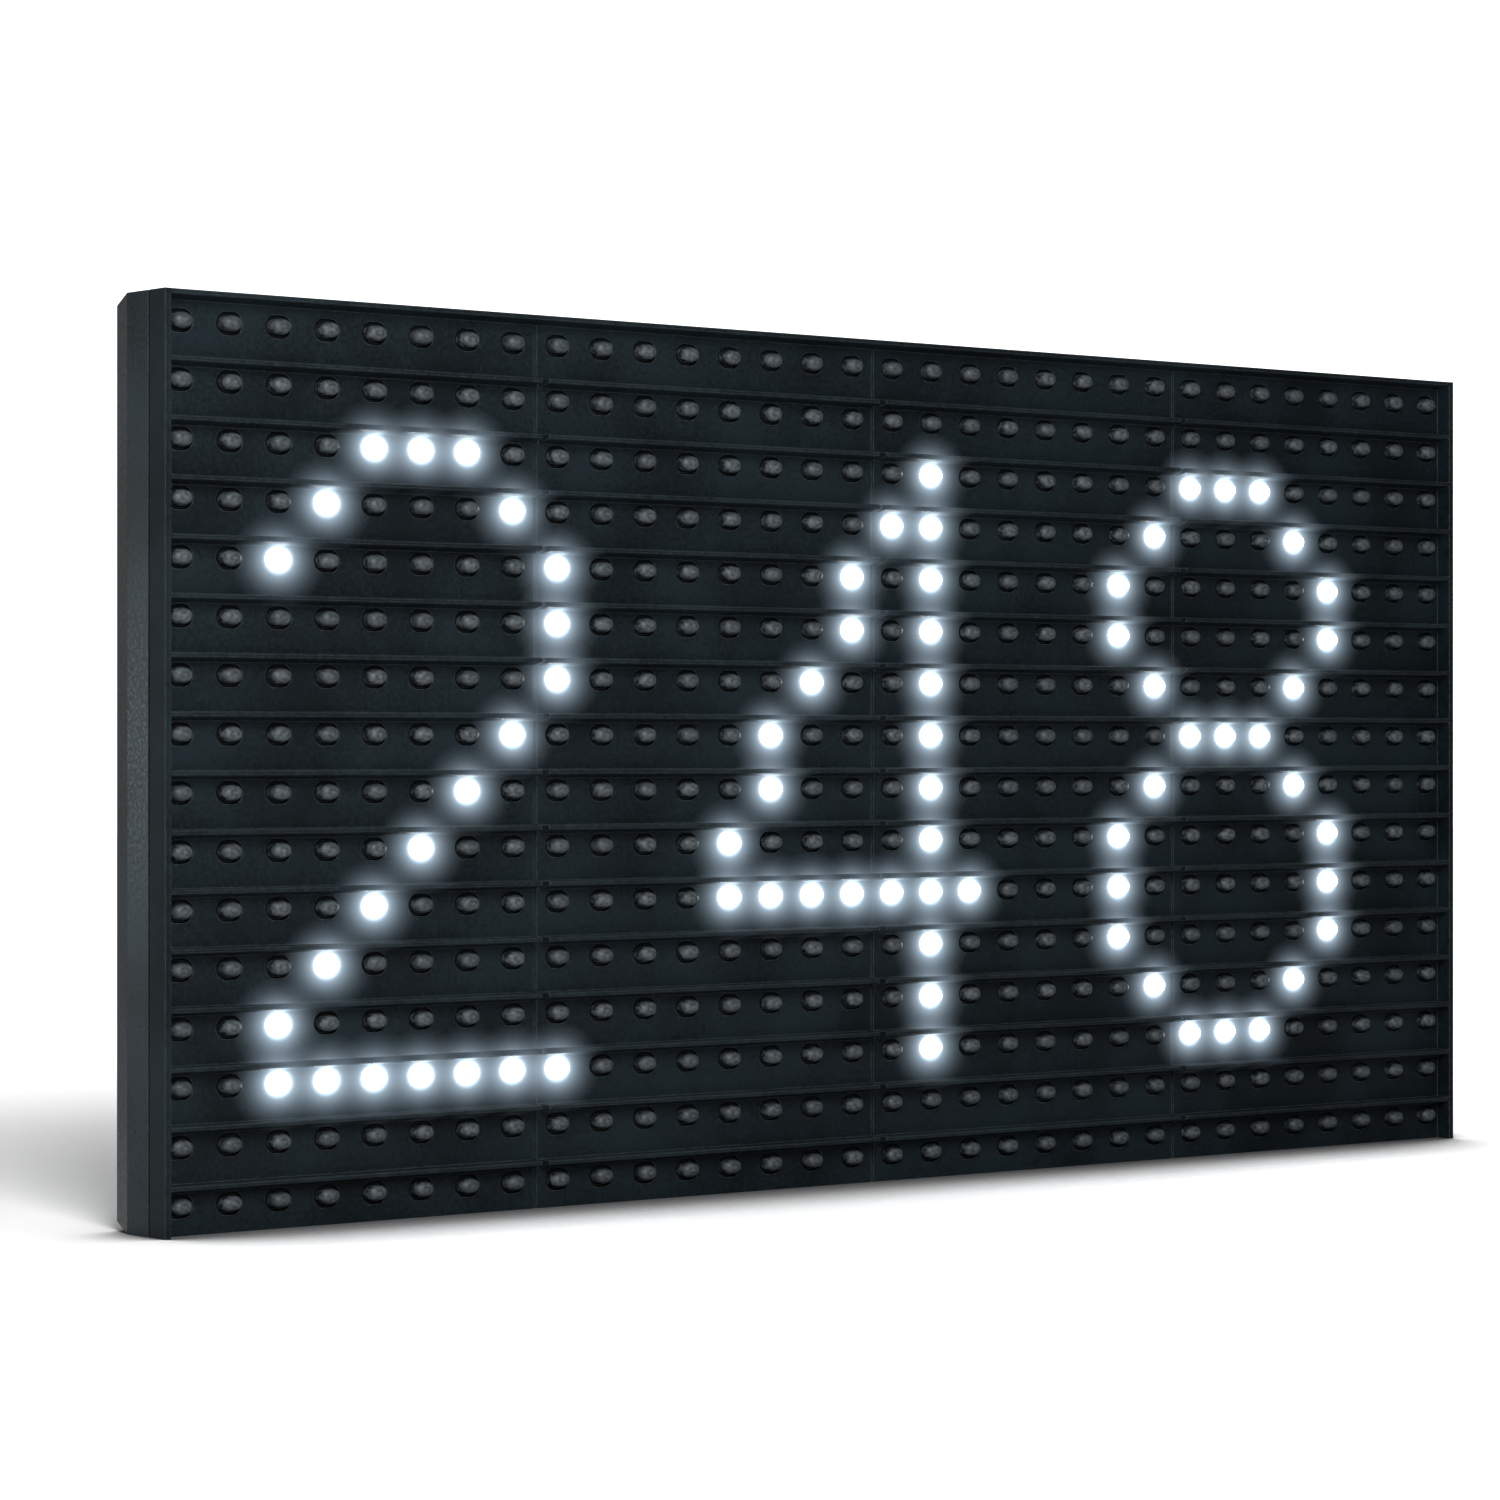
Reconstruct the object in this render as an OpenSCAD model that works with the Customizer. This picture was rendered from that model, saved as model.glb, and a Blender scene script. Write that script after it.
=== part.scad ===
// Outdoor LED dot-matrix display module, standing on its lower edge.
// X runs across the display, Z up, and the LEDs face -Y. The origin is the middle of the footprint.

/* [Dot matrix] */
// Distance between neighbouring LEDs, both ways
pitch = 10; // [10:0.5:13]
// LED columns in one moulded block
block_columns = 8; // [8:2:12]
// Blocks side by side
blocks = 4; // [4:2:6]
// LED rows
rows = 16; // [16:4:24]

/* [Depth] */
// How far the louvres reach out of the mask plate
fin_reach = 3.4; // [3.2:0.2:5]
// Thickness of the mask plate
plate_t = 1.4; // [1.2:0.1:2.2]
// Space between the circuit board and the mask plate
plate_gap = 3.4; // [3.4:0.2:5]
// Thickness of the circuit board
board_t = 1.6; // [1.2:0.2:2.4]
// Depth of the rear frame behind the board
rear_room = 8.2; // [8.2:0.2:13]

/* [Louvred mask] */
// Height of a louvre's top above the centres of the LEDs under it
fin_rise = 3.8; // [3.7:0.1:4.6]
// Thickness of a louvre where it leaves the plate
fin_root_t = 1.5; // [1.3:0.1:1.9]
// Thickness of a louvre at its front edge
fin_tip_t = 0.9; // [0.7:0.1:1.2]
// Chamfer on the front edge of a louvre
fin_chamfer = 0.2; // [0.1:0.05:0.3]
// Gap in each louvre where two blocks meet
fin_break = 1.6; // [1:0.2:2.4]
// Thickness of the two side walls in front of the plate
cheek_t = 1.2; // [1:0.1:2]
// Width of the groove in the plate where two blocks meet
seam_w = 0.8; // [0.4:0.1:1.2]
// Depth of that groove
seam_d = 0.5; // [0.3:0.1:0.7]
// Gap round each LED in its hole
led_gap = 0.6; // [0.3:0.05:0.65]
// Thickness of the tongue that enters the rear frame
tongue_t = 1; // [0.8:0.1:1.2]
// Depth of the tongue
tongue_d = 2; // [1.2:0.2:2.4]
// Outer diameter of the screw posts behind the plate
post_d = 5; // [4:0.2:5.2]
// Diameter of the pilot hole in a post
pilot_d = 2.2; // [2.2:0.1:2.6]

/* [LEDs] */
// Width of the oval lens
led_w = 4.2; // [3.6:0.1:4.4]
// Height of the oval lens
led_h = 2.8; // [2.4:0.1:3.2]
// How far the lens stands out of the plate
led_proud = 2; // [1.6:0.1:3]
// Width of the rim round the foot of the lens
led_rim = 0.45; // [0.2:0.05:0.5]
// Thickness of that rim
led_rim_t = 1; // [0.6:0.1:1.4]
// Diameter of a lead
lead_d = 0.5; // [0.4:0.05:0.6]
// Distance between the two leads
lead_spacing = 2.54; // [2:0.02:2.6]
// How far the leads stand out behind the board
lead_tail = 0.6; // [0.3:0.1:0.7]

/* [Circuit board] */
// Gap between the board's edge and the rear frame's wall
board_clear = 0.3; // [0.2:0.05:0.5]
// Diameter of the hole for an LED lead
lead_hole_d = 0.9; // [0.85:0.05:1]
// Diameter of the hole for a header pin
pin_hole_d = 1.1; // [1:0.05:1.2]

/* [Rear frame] */
// Thickness of the outer walls
wall = 1.5; // [1.3:0.1:2]
// How far those walls lean in at the mounting plane
wall_lean = 1.7; // [0.5:0.1:2]
// Depth of their leaning part
lean_depth = 6; // [4:0.5:7]
// Gap between the mask's tongue and that wall
tongue_clear = 0.15; // [0.1:0.05:0.25]
// Width of the rim that turns in at the back
rim_w = 3.3; // [2.6:0.1:3.8]
// Thickness of that rim
rim_t = 1.6; // [1.2:0.2:2.4]
// Thickness of the ribs
rib_t = 1.8; // [1.4:0.1:2]
// How far the ribs stop short of the mounting plane
rib_recess = 0.6; // [0.4:0.1:1.4]
// Width and depth of the groove along the parting line
parting = 0.6; // [0.3:0.1:0.8]
// Diameter of a screw tower
tower_d = 8; // [7.6:0.2:8.4]
// Thickness of the floor under a screw head
tower_floor = 1.6; // [1.2:0.2:2]
// Diameter of a boss that holds a mounting insert
boss_d = 8; // [7:0.2:8.4]
// Wall of the collar round a header
collar_t = 1.5; // [1.2:0.1:1.8]
// Gap between a header and its collar
collar_clear = 0.5; // [0.4:0.1:0.8]
// Height of the collars and headers above the board, over the LED leads
stand_off = 0.8; // [0.8:0.1:1]

/* [Screws and inserts] */
// Diameter of the screws that clamp the board
screw_d = 2; // [1.8:0.05:2]
// Length of those screws under the head
screw_len = 6; // [5.6:0.2:6]
// Diameter of a screw head
head_d = 4.2; // [3.6:0.1:4.4]
// Height of a screw head
head_t = 1.6; // [1.2:0.1:2]
// Gap round a screw or its head
screw_clear = 0.3; // [0.2:0.05:0.4]
// Outer diameter of a mounting insert
insert_d = 4.6; // [4.2:0.1:4.8]
// Diameter of its tapped hole
insert_bore_d = 2.5; // [2.5:0.1:3]
// Length of an insert
insert_len = 6; // [4:0.5:7]
// Gap between an insert and its boss
insert_fit = 0.05; // [0.02:0.01:0.1]

/* [Connectors] */
// Length of a data header
data_l = 27.94; // [27:0.02:29]
// Width of a data header
data_w = 8.8; // [8.4:0.1:9.4]
// Height of a data header above its feet
data_h = 7.2; // [6.4:0.2:7.4]
// Length of the power header
power_l = 16; // [15.6:0.2:17]
// Width of the power header
power_w = 8.5; // [8:0.1:8.8]
// Height of the power header above its feet
power_h = 7.2; // [6.4:0.2:7.4]
// Wall of the headers
header_t = 1.1; // [0.9:0.1:1.2]
// Side of a square header pin
pin_side = 0.64; // [0.5:0.02:0.7]
// Side of a square power pin
power_pin_side = 1.1; // [0.9:0.05:1.14]

/* [Hidden] */
$fn = 32;
columns = blocks * block_columns;
block_w = block_columns * pitch;
width = columns * pitch;
height = rows * pitch;
depth = fin_reach + plate_t + plate_gap + board_t + rear_room;

// Depth stations, from the louvres' front edge to the mounting plane.
front_y = -depth / 2;
plate_front = front_y + fin_reach;
plate_back = plate_front + plate_t;
board_front = plate_back + plate_gap;
board_back = board_front + board_t;
rear_y = board_back + rear_room;
rib_back = rear_y - rib_recess;
bend_y = rear_y - lean_depth;

// Places [x, z] of what fastens the layers together and the module to its cabinet.
side_x = width / 2 - pitch;
seams = [for (i = [1 : blocks - 1]) (i - blocks / 2) * block_w];
side_seams = [for (x = seams) if (x != 0) x];
screw_places = concat(
    [for (x = side_seams, k = [1, rows / 2, rows - 1]) [x, k * pitch]],
    [for (x = [-side_x, 0, side_x], k = [-3, 3]) [x, height / 2 + k * pitch]]
);
insert_places = [for (x = [-side_x, 0, side_x], k = [1, rows - 1]) [x, k * pitch]];

// Places [x, z] of what is soldered to the back of the board, always between two LED rows.
data_x = (width - block_w) / 2;
driver_places = [
    for (z = [height * 3 / 4, height / 4], i = [0 : 2 * blocks - 1])
        [(i + 0.5 - blocks) * block_w / 2, z]
];
switch_places = [for (s = [-1, 1], f = [3 / 8, 5 / 8]) [s * f * block_w, height / 2 + 2 * pitch]];
decoder_place = [-block_w * 3 / 4, height / 2 - 2 * pitch];
buffer_places = [for (k = [-2, 2]) [-block_w * 5 / 4, height / 2 + k * pitch]];
bulk_places = [for (s = [-1, 1]) [s * block_w / 4, height / 2 + pitch]];
resistors_per_driver = 8;
resistor_step = 2.3;

// Chip packages: [body length, body width, span over the leads, height, leads a side, lead pitch, lead width]
soic_16 = [9.9, 3.9, 6, 1.7, 8, 1.27, 0.42];
soic_8 = [4.9, 3.9, 6, 1.7, 4, 1.27, 0.42];
tssop_20 = [6.5, 4.4, 6.4, 1.1, 10, 0.65, 0.24];
lead_t = 0.2;
resistor_size = [1.25, 2, 0.55];
ceramic_size = [2, 1.25, 1.1];
bulk_d = 6.3;
bulk_h = 5.8;
bulk_base = 6.6;
data_pins = [2, 8];
data_pin_pitch = 2.54;
power_pins_count = 4;
power_pin_pitch = 3.96;
header_floor = 1.4;
pin_tail = 1;
pin_short = 2.8;
key_w = 4.5;

// Plain figures that the module shows: one character a LED, from the top row down.
figure_two = [
    "  ###  ", " #   # ", "#     #", "      #", "      #", "     # ",
    "    #  ", "   #   ", "  #    ", " #     ", "#      ", "#######"
];
figure_four = [
    "     # ", "    ## ", "   # # ", "   # # ", "  #  # ", " #   # ",
    " #   # ", "#    # ", "#######", "     # ", "     # ", "     # "
];
figure_eight = [
    "  ###  ", " #   # ", "#     #", "#     #", " #   # ", "  ###  ",
    " #   # ", "#     #", "#     #", "#     #", " #   # ", "  ###  "
];
figures = [figure_two, figure_four, figure_eight];
figure_step = 10;
figure_left = 2;
figure_top = 2;

// True where LED [column c, row r from the top] is part of a figure.
function lit(c, r) =
    let (n = floor((c - figure_left) / figure_step))
    let (i = (c - figure_left) % figure_step, j = r - figure_top)
    n >= 0 && n < len(figures) && i >= 0 && i < len(figures[0][0]) && j >= 0 && j < len(figures[0])
        ? figures[n][j][i] == "#"
        : false;

function led_x(c) = (c + 0.5) * pitch - width / 2;
function led_z(r) = height - (r + 0.5) * pitch;
function two_digits(n) = n < 10 ? str("0", n) : str(n);

led_row_names = [for (r = [1 : rows]) str("led_row_", two_digits(r))];
driver_names = [for (i = [1 : len(driver_places)]) str("driver_ic_", two_digits(i))];
switch_names = [for (i = [1 : len(switch_places)]) str("row_switch_", i)];
buffer_names = [for (i = [1 : len(buffer_places)]) str("signal_buffer_", i)];
bulk_names = [for (i = [1 : len(bulk_places)]) str("bulk_capacitor_", i)];

// Extrudes an outline drawn in [x, z] from one depth to another.
module slab(from, to) {
    translate([0, to, 0]) rotate([90, 0, 0]) linear_extrude(to - from) children();
}

// Extrudes a section drawn in [y, z] from one x to another.
module bar(from, to) {
    translate([from, 0, 0]) rotate([90, 0, 90]) linear_extrude(to - from) children();
}

// The module's outline in [x, z], drawn in by an inset.
module outline(inset = 0) {
    translate([inset - width / 2, inset]) square([width - 2 * inset, height - 2 * inset]);
}

module outline_ring(inset, t) {
    difference() {
        outline(inset);
        outline(inset + t);
    }
}

// A long hole or lens outline with half-round ends, on [x, z].
module oval(w, h) {
    for (s = [-1, 1]) translate([s * (w - h) / 2, 0]) circle(d = h);
    square([w - h, h], center = true);
}

// Rectangle round a place, on [x, z].
module patch(place, w, h) {
    translate(place) square([w, h], center = true);
}

module at_places(places) {
    for (p = places) translate([p[0], 0, p[1]]) children();
}

// A round post or hole along Y.
module rod(d, from, to) {
    translate([0, to, 0]) rotate([90, 0, 0]) cylinder(d = d, h = to - from);
}

/* ---------- Mask ---------- */

// Section of a louvre: flat top, underside rising to a thin chamfered front edge.
module fin_section() {
    polygon([
        [plate_front, 0], [front_y + fin_chamfer, 0], [front_y, -fin_chamfer],
        [front_y, fin_chamfer - fin_tip_t], [front_y + fin_chamfer, -fin_tip_t], [plate_front, -fin_root_t]
    ]);
}

// One row of the plate with its LED holes and the louvre over them. The top row's is the upper wall.
module mask_row(r) {
    slab(plate_front, plate_back) difference() {
        translate([-width / 2, led_z(r) - pitch / 2]) square([width, pitch]);
        for (c = [0 : columns - 1])
            translate([led_x(c), led_z(r)]) oval(led_w + 2 * led_gap, led_h + 2 * led_gap);
    }
    ends = r == 0 ? [-width / 2, width / 2] : concat([-width / 2 - fin_break / 2], seams, [width / 2 + fin_break / 2]);
    trim = r == 0 ? 0 : fin_break / 2;
    translate([0, 0, r == 0 ? height : led_z(r) + fin_rise])
        for (i = [0 : len(ends) - 2]) bar(ends[i] + trim, ends[i + 1] - trim) fin_section();
}

module louver_mask() {
    color([0.13, 0.15, 0.16]) difference() {
        union() {
            for (r = [0 : rows - 1]) mask_row(r);
            for (s = [-1, 1]) bar(s * (width - cheek_t) / 2 - cheek_t / 2, s * (width - cheek_t) / 2 + cheek_t / 2)
                translate([front_y, 0]) square([fin_reach, height]);
            slab(plate_back, plate_back + tongue_d) outline_ring(wall + tongue_clear, tongue_t);
            at_places(screw_places) rod(post_d, plate_back, board_front);
        }
        for (x = seams) translate([x - seam_w / 2, plate_front - seam_d, -pitch])
            cube([seam_w, 2 * seam_d, height + pitch - fin_root_t]);
        at_places(screw_places) rod(pilot_d, plate_back - plate_t / 4, board_front + plate_t);
    }
}

/* ---------- LEDs ---------- */

// Half section of a lens across its narrow way: rim, straight body and round top.
module lens_section() {
    tip = plate_gap + plate_t + led_proud;
    square([led_h / 2 + led_rim, led_rim_t]);
    square([led_h / 2, tip - led_h / 2]);
    translate([0, tip - led_h / 2]) intersection() {
        circle(d = led_h);
        square(led_h / 2);
    }
}

// One LED, seated on the board at the origin and facing -Y, with its two leads through the board.
module led() {
    rotate([90, 0, 0]) {
        for (s = [-1, 1]) translate([s * (led_w - led_h) / 2, 0, 0]) rotate([0, 0, -90 * s])
            rotate_extrude(angle = 180) lens_section();
        rotate([90, 0, 90]) linear_extrude(led_w - led_h, center = true) {
            lens_section();
            mirror([1, 0]) lens_section();
        }
    }
    for (s = [-1, 1]) translate([s * lead_spacing / 2, 0, 0]) rod(lead_d, 0, board_t + lead_tail);
}

module led_row(r) {
    color([0.45, 0.48, 0.5]) for (c = [0 : columns - 1])
        if (!lit(c, r)) translate([led_x(c), board_front, led_z(r)]) led();
}

module lit_leds() {
    color([0.95, 0.98, 1]) for (r = [0 : rows - 1], c = [0 : columns - 1])
        if (lit(c, r)) translate([led_x(c), board_front, led_z(r)]) led();
}

/* ---------- Board ---------- */

module circuit_board() {
    color([0.09, 0.3, 0.17]) slab(board_front, board_back) difference() {
        outline(wall + board_clear);
        for (r = [0 : rows - 1], c = [0 : columns - 1], s = [-1, 1])
            translate([led_x(c) + s * lead_spacing / 2, led_z(r)]) circle(d = lead_hole_d);
        for (p = screw_places) translate(p) circle(d = screw_d + 2 * screw_clear);
        for (s = [-1, 1]) translate([s * data_x, height / 2])
            for (p = data_pin_places()) translate(p) circle(d = pin_hole_d);
        for (x = power_pin_xs()) translate([x, height / 2]) circle(d = power_pin_side * 1.5);
    }
}

/* ---------- Rear frame ---------- */

module header_pockets(grow) {
    for (s = [-1, 1]) patch([s * data_x, height / 2], data_w + 2 * grow, data_l + 2 * grow);
    patch([0, height / 2], power_l + 2 * grow, power_w + 2 * grow);
}

// Ribs between the blocks, across the middle, and webs from the posts to the outer wall.
module ribs() {
    for (x = seams) translate([x - rib_t / 2, wall / 2]) square([rib_t, height - wall]);
    translate([-width / 2 + wall / 2, height / 2 - rib_t / 2]) square([width - wall, rib_t]);
    for (s = [-1, 1], z = [pitch, height / 2 - 3 * pitch, height / 2 + 3 * pitch, height - pitch])
        patch([s * (width / 2 - (pitch + wall) / 2), z], pitch - wall / 2, rib_t);
    for (s = [-1, 1], z = [(pitch + wall) / 2, height - (pitch + wall) / 2])
        patch([s * side_x, z], rib_t, pitch - wall / 2);
}

// The frame's outline from one depth to another, drawn in by an inset, its four sides leaning in
// behind bend_y.
module leaning_body(inset, from, to) {
    lean = wall_lean * (to - bend_y) / lean_depth;
    intersection() {
        bar(-width, width) polygon([
            [from, inset], [bend_y, inset], [to, inset + lean],
            [to, height - inset - lean], [bend_y, height - inset], [from, height - inset]
        ]);
        translate([0, 0, -height]) linear_extrude(3 * height) polygon([
            [inset - width / 2, from], [width / 2 - inset, from], [width / 2 - inset, bend_y],
            [width / 2 - inset - lean, to], [inset + lean - width / 2, to], [inset - width / 2, bend_y]
        ]);
    }
}

// The four outer walls, with the narrow lip that the mask sits on.
module outer_walls() {
    slab(plate_back, plate_back + parting) outline_ring(parting, wall - parting);
    difference() {
        leaning_body(0, plate_back + parting, rear_y);
        leaning_body(wall, plate_back, rear_y + 1);
    }
}

module rear_frame() {
    bore_d = screw_d + 2 * screw_clear;
    color([0.15, 0.17, 0.18]) difference() {
        union() {
            outer_walls();
            intersection() {
                leaning_body(wall / 2, board_front, rear_y);
                union() {
                    slab(board_back, rib_back) difference() {
                        ribs();
                        header_pockets(collar_clear + collar_t / 2);
                    }
                    slab(rear_y - rim_t, rear_y) outline_ring(0, wall_lean + rim_w);
                }
            }
            slab(board_back + stand_off, rib_back) difference() {
                header_pockets(collar_clear + collar_t);
                header_pockets(collar_clear);
            }
            at_places(screw_places) rod(tower_d, board_back, rib_back);
            at_places(insert_places) rod(boss_d, board_back, rear_y);
        }
        at_places(screw_places) {
            rod(bore_d, board_back - 1, board_back + tower_floor + 1);
            rod(head_d + 2 * screw_clear, board_back + tower_floor, rear_y);
        }
        at_places(insert_places) rod(insert_d, rear_y - insert_len, rear_y + 1);
    }
}

/* ---------- Chips and small parts ---------- */

// A chip on its gull-wing leads, standing on the board at the origin and facing +Y.
module chip(package) {
    l = package[0];
    w = package[1];
    span = package[2];
    h = package[3];
    n = package[4];
    foot = lead_t * 3;
    mid = (h + lead_t) / 2;
    difference() {
        bar(-l / 2, l / 2) polygon([
            [lead_t / 2, 0.1 - w / 2], [mid, -w / 2], [h, 0.15 - w / 2],
            [h, w / 2 - 0.15], [mid, w / 2], [lead_t / 2, w / 2 - 0.1]
        ]);
        translate([0.8 - l / 2, 0, w / 2 - 0.9]) rod(0.8, h - 0.1, h + 1);
    }
    for (i = [0 : n - 1], s = [0, 1]) mirror([0, 0, s])
        translate([(i - (n - 1) / 2) * package[5], 0, 0]) bar(-package[6] / 2, package[6] / 2) polygon([
            [0, span / 2], [0, span / 2 - foot], [mid - lead_t / 2, span / 2 - foot - lead_t],
            [mid - lead_t / 2, w / 2 - lead_t], [mid + lead_t / 2, w / 2 - lead_t],
            [mid + lead_t / 2, span / 2 - foot], [lead_t, span / 2 - foot + lead_t], [lead_t, span / 2]
        ]);
}

module on_board(place) {
    translate([place[0], board_back, place[1]]) children();
}

module dark_chip(place, package) {
    color([0.1, 0.1, 0.11]) on_board(place) chip(package);
}

// A small block with two end caps, across X or Z, lying on the board.
module small_part(size) {
    translate([-size[0] / 2, 0, -size[1] / 2]) cube([size[0], size[2], size[1]]);
}

module resistors() {
    color([0.12, 0.12, 0.13]) for (p = driver_places, i = [0 : resistors_per_driver - 1])
        on_board([
            p[0] + (i - (resistors_per_driver - 1) / 2) * resistor_step,
            p[1] + (p[1] > height / 2 ? pitch : -pitch)
        ]) small_part(resistor_size);
}

module decoupling_capacitors() {
    color([0.6, 0.5, 0.38]) for (p = driver_places)
        on_board([p[0] + soic_16[0] / 2 + 2.6, p[1]]) small_part(ceramic_size);
}

// An aluminium can on its square plastic base.
module bulk_capacitor(place) {
    base_t = 1;
    color([0.7, 0.71, 0.72]) on_board(place) {
        translate([-bulk_base / 2, 0, -bulk_base / 2]) cube([bulk_base, base_t, bulk_base]);
        rotate([-90, 0, 0]) rotate_extrude() polygon([
            [0, base_t / 2], [bulk_d / 2 - 0.3, base_t / 2], [bulk_d / 2 - 0.3, base_t + 0.6],
            [bulk_d / 2, base_t + 0.9], [bulk_d / 2, bulk_h - 0.3], [bulk_d / 2 - 0.3, bulk_h], [0, bulk_h]
        ]);
    }
}

/* ---------- Connectors ---------- */

function data_pin_places() = [
    for (i = [0 : data_pins[0] - 1], j = [0 : data_pins[1] - 1])
        [(i - (data_pins[0] - 1) / 2) * data_pin_pitch, (j - (data_pins[1] - 1) / 2) * data_pin_pitch]
];
function power_pin_xs() = [
    for (i = [0 : power_pins_count - 1]) (i - (power_pins_count - 1) / 2) * power_pin_pitch
];

// An open box on two feet, its mouth facing +Y, with holes in the floor for its pins.
module shroud(w, l, h, holes, hole_d) {
    bottom = board_back + stand_off;
    top = bottom + h;
    difference() {
        union() {
            slab(bottom, top) patch([0, 0], w, l);
            children();
        }
        slab(bottom + header_floor, top + 1) patch([0, 0], w - 2 * header_t, l - 2 * header_t);
        for (p = holes) translate([p[0], 0, p[1]]) rod(hole_d, bottom - 1, top);
    }
}

module data_header(side) {
    color([0.08, 0.08, 0.09]) translate([side * data_x, 0, height / 2]) difference() {
        shroud(data_w, data_l, data_h, data_pin_places(), pin_side * 1.5)
            for (s = [-1, 1]) slab(board_back, board_back + stand_off)
                patch([0, s * (data_l - header_t) / 2], data_w / 4, header_t);
        slab(board_back + stand_off + header_floor + 1, rear_y) patch([data_w / 2, 0], data_w / 2, key_w);
    }
}

module data_pin_set(side) {
    top = board_back + stand_off + data_h - pin_short;
    color([0.83, 0.7, 0.35]) translate([side * data_x, 0, height / 2])
        for (p = data_pin_places()) slab(board_front - pin_tail, top) patch(p, pin_side, pin_side);
}

module power_header() {
    holes = [for (x = power_pin_xs()) [x, 0]];
    color([0.9, 0.88, 0.82]) translate([0, 0, height / 2]) difference() {
        shroud(power_l, power_w, power_h, holes, power_pin_side * 1.5)
            for (s = [-1, 1]) slab(board_back, board_back + stand_off)
                patch([s * (power_l - header_t) / 2, 0], header_t, power_w / 2);
        slab(board_back + stand_off + header_floor + 1, rear_y) patch([0, power_w / 2], power_l / 2, power_w / 2);
    }
}

module power_pins() {
    top = board_back + stand_off + power_h - pin_short;
    color([0.8, 0.8, 0.8]) translate([0, 0, height / 2])
        for (x = power_pin_xs()) slab(board_front - pin_tail, top) patch([x, 0], power_pin_side, power_pin_side);
}

/* ---------- Screws and inserts ---------- */

// Pan-head screw with a cross recess, its head on the floor of its tower.
module mask_screws() {
    seat = board_back + tower_floor;
    recess = head_t / 2;
    color([0.72, 0.73, 0.75]) at_places(screw_places) difference() {
        union() {
            rod(screw_d, seat - screw_len, seat + head_t / 2);
            rod(head_d, seat, seat + head_t);
        }
        for (a = [0, 90]) rotate([0, a, 0]) translate([-head_d / 4, seat + head_t - recess, -head_t / 6])
            cube([head_d / 2, head_t, head_t / 3]);
    }
}

// Brass insert, its groove between two bands, flush with the mounting plane.
module mount_inserts() {
    r = insert_d / 2 - insert_fit;
    groove = insert_len / 5;
    color([0.8, 0.65, 0.3]) at_places(insert_places)
        translate([0, rear_y, 0]) rotate([90, 0, 0]) rotate_extrude() polygon([
            [insert_bore_d / 2, 0], [r, 0], [r, insert_len / 2 - groove / 2],
            [r - 0.4, insert_len / 2 - groove / 2], [r - 0.4, insert_len / 2 + groove / 2],
            [r, insert_len / 2 + groove / 2], [r, insert_len], [insert_bore_d / 2, insert_len]
        ]);
}

louver_mask();
circuit_board();
rear_frame();
lit_leds();
for (i = [0 : rows - 1])
    led_row(i);
for (i = [0 : len(driver_places) - 1])
    dark_chip(driver_places[i], soic_16);
for (i = [0 : len(switch_places) - 1])
    dark_chip(switch_places[i], soic_8);
for (i = [0 : len(buffer_places) - 1])
    dark_chip(buffer_places[i], tssop_20);
for (i = [0 : len(bulk_places) - 1])
    bulk_capacitor(bulk_places[i]);
dark_chip(decoder_place, soic_16);  // row_decoder
resistors();
decoupling_capacitors();
data_header(-1);  // data_in_header
data_pin_set(-1);  // data_in_pins
data_header(1);  // data_out_header
data_pin_set(1);  // data_out_pins
power_header();
power_pins();
mask_screws();
mount_inserts();
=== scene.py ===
# %% [markdown]
# # A louvred LED dot-matrix module
# The real object is a sandwich. A black mask with a small roof over every row of LEDs keeps sunlight
# off the lenses, a green board behind it carries the LEDs, and an open ribbed frame holds the board
# and bolts to a cabinet. The solids come ready-made and stay as they are. This lesson dresses them:
# it swaps the plain LEDs for glowing and dark lenses, adds seals, solder, copper, threads and
# tapered pins, gives each plastic and metal its finish, and sets up a small studio.

# %% Load the frame
import math

import bpy
import numpy as np
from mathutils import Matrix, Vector


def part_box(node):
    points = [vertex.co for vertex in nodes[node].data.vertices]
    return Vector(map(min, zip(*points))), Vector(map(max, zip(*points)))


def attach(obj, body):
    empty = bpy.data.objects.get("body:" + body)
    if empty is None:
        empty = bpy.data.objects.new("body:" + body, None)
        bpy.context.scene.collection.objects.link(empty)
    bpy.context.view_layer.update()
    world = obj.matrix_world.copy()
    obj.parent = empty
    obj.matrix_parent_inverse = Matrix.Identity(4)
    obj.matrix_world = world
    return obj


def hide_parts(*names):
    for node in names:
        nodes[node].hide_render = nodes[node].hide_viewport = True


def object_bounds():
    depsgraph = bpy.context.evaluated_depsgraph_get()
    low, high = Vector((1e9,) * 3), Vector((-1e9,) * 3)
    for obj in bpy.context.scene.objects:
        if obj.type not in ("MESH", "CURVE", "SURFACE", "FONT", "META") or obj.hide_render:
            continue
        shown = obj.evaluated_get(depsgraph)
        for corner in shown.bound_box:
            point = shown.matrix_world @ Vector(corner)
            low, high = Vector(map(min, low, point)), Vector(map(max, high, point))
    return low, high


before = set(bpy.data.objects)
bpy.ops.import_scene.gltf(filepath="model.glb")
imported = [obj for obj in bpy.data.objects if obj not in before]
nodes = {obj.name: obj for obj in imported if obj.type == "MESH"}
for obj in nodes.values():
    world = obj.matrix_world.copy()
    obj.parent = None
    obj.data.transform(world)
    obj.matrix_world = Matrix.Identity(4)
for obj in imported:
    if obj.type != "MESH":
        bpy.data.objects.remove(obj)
solid_low, solid_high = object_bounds()
MM = 0.001
print("nodes:", len(nodes), "size in mm:", [round(v / MM, 1) for v in solid_high - solid_low])

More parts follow.
